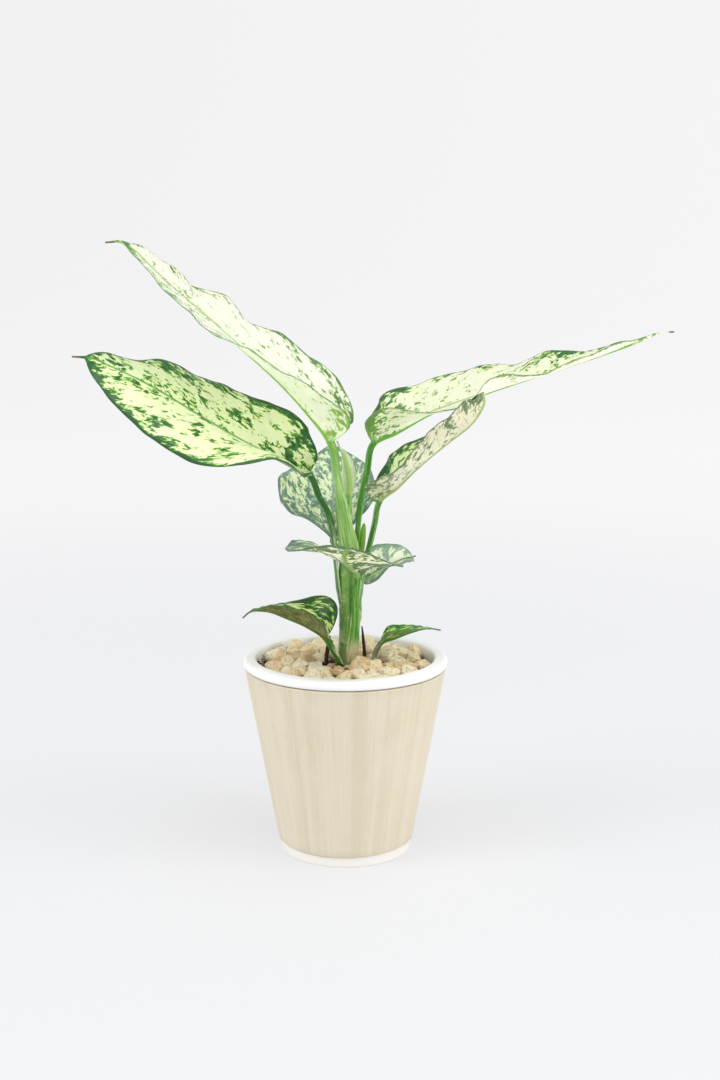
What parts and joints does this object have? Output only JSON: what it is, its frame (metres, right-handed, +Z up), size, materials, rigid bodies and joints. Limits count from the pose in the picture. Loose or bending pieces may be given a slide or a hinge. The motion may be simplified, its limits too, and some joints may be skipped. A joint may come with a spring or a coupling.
{
  "type": "potted chinese evergreen",
  "caption": "Young variegated chinese evergreen with cream and green leaves on one stem, in a white pot with a pale wood sleeve and gravel over the soil.",
  "frame": {"origin": "centre of the underside of the pot's foot, on the surface that the pot stands on", "axes": "+Z up along the pot's axis; +X to the viewer's right in the picture; -Y towards the viewer"},
  "size_m": [0.2475, 0.1383, 0.261],
  "materials": {
    "white_pot": "semi-gloss white",
    "sleeve_wood": "pale matt wood grain, fine and upright",
    "soil": "dark crumbly potting soil; stands in for soil",
    "pumice": "tan porous pumice gravel",
    "stem_green": "smooth green cane; stands in for plant stem",
    "leaf_variegated": "satin cream leaf with green blotches and margin; stands in for living leaf",
    "sheath_pale": "thin pale green sheath; stands in for living sheath",
    "sheath_dry": "withered dark sheath; stands in for dead sheath"
  },
  "bodies": {
    "root": {"inner_pot": "white_pot", "wood_sleeve": "sleeve_wood", "potting_soil": "soil", "gravel": "pumice", "stem": "stem_green", "leaf_upper_left": "leaf_variegated", "leaf_left": "leaf_variegated", "leaf_right": "leaf_variegated", "leaf_lower_right": "leaf_variegated", "leaf_back": "leaf_variegated", "leaf_front": "leaf_variegated", "leaf_low_left": "leaf_variegated", "leaf_low_right": "leaf_variegated", "leaf_low_back": "leaf_variegated", "young_sheath": "sheath_pale", "dried_sheath_right": "sheath_dry", "dried_sheath_left": "sheath_dry"}
  },
  "joints": []
}
